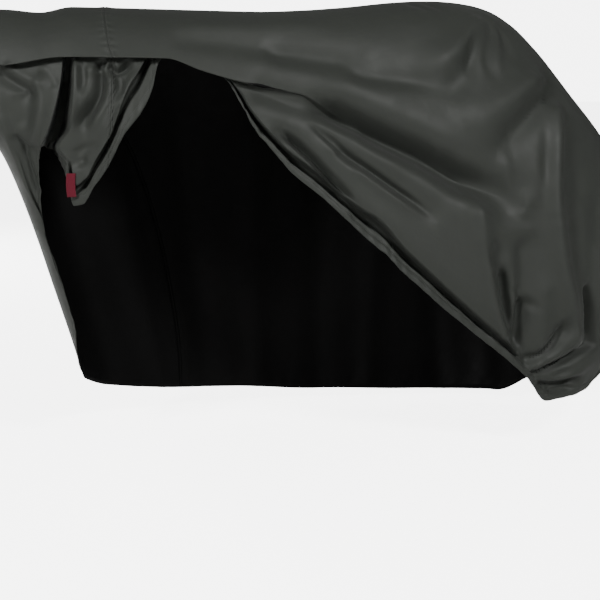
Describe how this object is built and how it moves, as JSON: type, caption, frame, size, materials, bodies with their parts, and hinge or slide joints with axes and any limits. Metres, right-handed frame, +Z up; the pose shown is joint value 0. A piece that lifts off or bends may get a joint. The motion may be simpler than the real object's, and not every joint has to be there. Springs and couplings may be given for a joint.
{
  "type": "bicycle cover",
  "caption": "Fitted cloth bicycle cover, hollow, rounded at the rear, draped with its near side lifted into an open flap, with an elastic hem and a red webbing tag.",
  "frame": {"origin": "underside of the crown over the middle of the cover, where the load is carried", "axes": "+X along the cover towards its rear end, +Y towards the far side, +Z up"},
  "size_m": [1.8369, 0.6856, 1.1396],
  "materials": {
    "cover_cloth": "satin",
    "tag_webbing": "matte"
  },
  "bodies": {
    "root": {"near_front_panel": "cover_cloth", "near_main_panel": "cover_cloth", "far_front_panel": "cover_cloth", "far_main_panel": "cover_cloth", "red_tag": "tag_webbing"}
  },
  "joints": []
}
